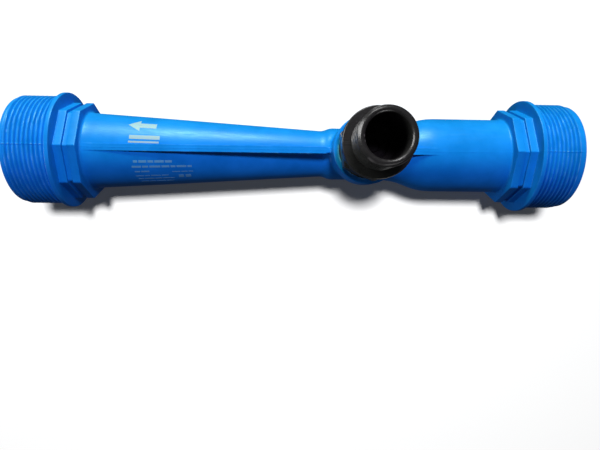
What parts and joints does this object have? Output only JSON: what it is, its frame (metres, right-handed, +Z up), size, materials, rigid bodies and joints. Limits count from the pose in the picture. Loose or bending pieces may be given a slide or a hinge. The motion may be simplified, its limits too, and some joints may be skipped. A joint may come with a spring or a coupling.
{
  "type": "venturi injector",
  "caption": "Straight threaded venturi injector for chlorine dosing, with wrench flats, a long diffuser cone and a screwed-in suction check valve.",
  "frame": {"origin": "on the ground, under the middle of the run between the two threaded ends", "axes": "+X along the water run towards the inlet, +Z up along the suction port, +Y to the left when looking from the outlet towards the inlet"},
  "size_m": [0.305, 0.0634, 0.1091],
  "materials": {
    "blue_plastic": "moulded, satin gloss",
    "black_plastic": "moulded, low sheen",
    "grey_plastic": "moulded, dark grey",
    "black_rubber": "smooth",
    "stainless_wire": "drawn wire"
  },
  "bodies": {
    "injector": {"injector_body": "blue_plastic"},
    "boss_seal": {"boss_gasket": "black_rubber"},
    "suction_valve": {"valve_housing": "black_plastic", "stem_guide": "grey_plastic", "valve_spring": "stainless_wire"},
    "poppet": {"poppet": "grey_plastic", "poppet_seal": "black_rubber"},
    "cap_seal": {"cap_o_ring": "black_rubber"},
    "cap": {"valve_cap": "black_plastic"}
  },
  "joints": [
    {"name": "valve_lift", "type": "slide", "parent": "injector", "child": "boss_seal", "axis": [0, 0, 1], "range_m": [0, 0.0127]},
    {"name": "valve_unscrew", "type": "hinge", "parent": "boss_seal", "child": "suction_valve", "pos_m": [0.036, 0, 0.0587], "axis": [0, 0, 1], "range_deg": [0, 2520]},
    {"name": "cap_lift", "type": "slide", "parent": "suction_valve", "child": "cap_seal", "axis": [0, 0, 1], "range_m": [0, 0.0075]},
    {"name": "cap_unscrew", "type": "hinge", "parent": "cap_seal", "child": "cap", "pos_m": [0.036, 0, 0.0822], "axis": [0, 0, 1], "range_deg": [0, 1800]},
    {"name": "poppet_open", "type": "slide", "parent": "suction_valve", "child": "poppet", "axis": [0, 0, -1], "range_m": [0, 0.005], "stiffness_N_per_m": 150, "springref_m": -0.004, "deforming": ["valve_spring"]}
  ],
  "couplings": [
    {"joint": "valve_lift", "follows": "valve_unscrew", "m_per_rad": 0.00028871},
    {"joint": "cap_lift", "follows": "cap_unscrew", "m_per_rad": 0.00023873}
  ]
}
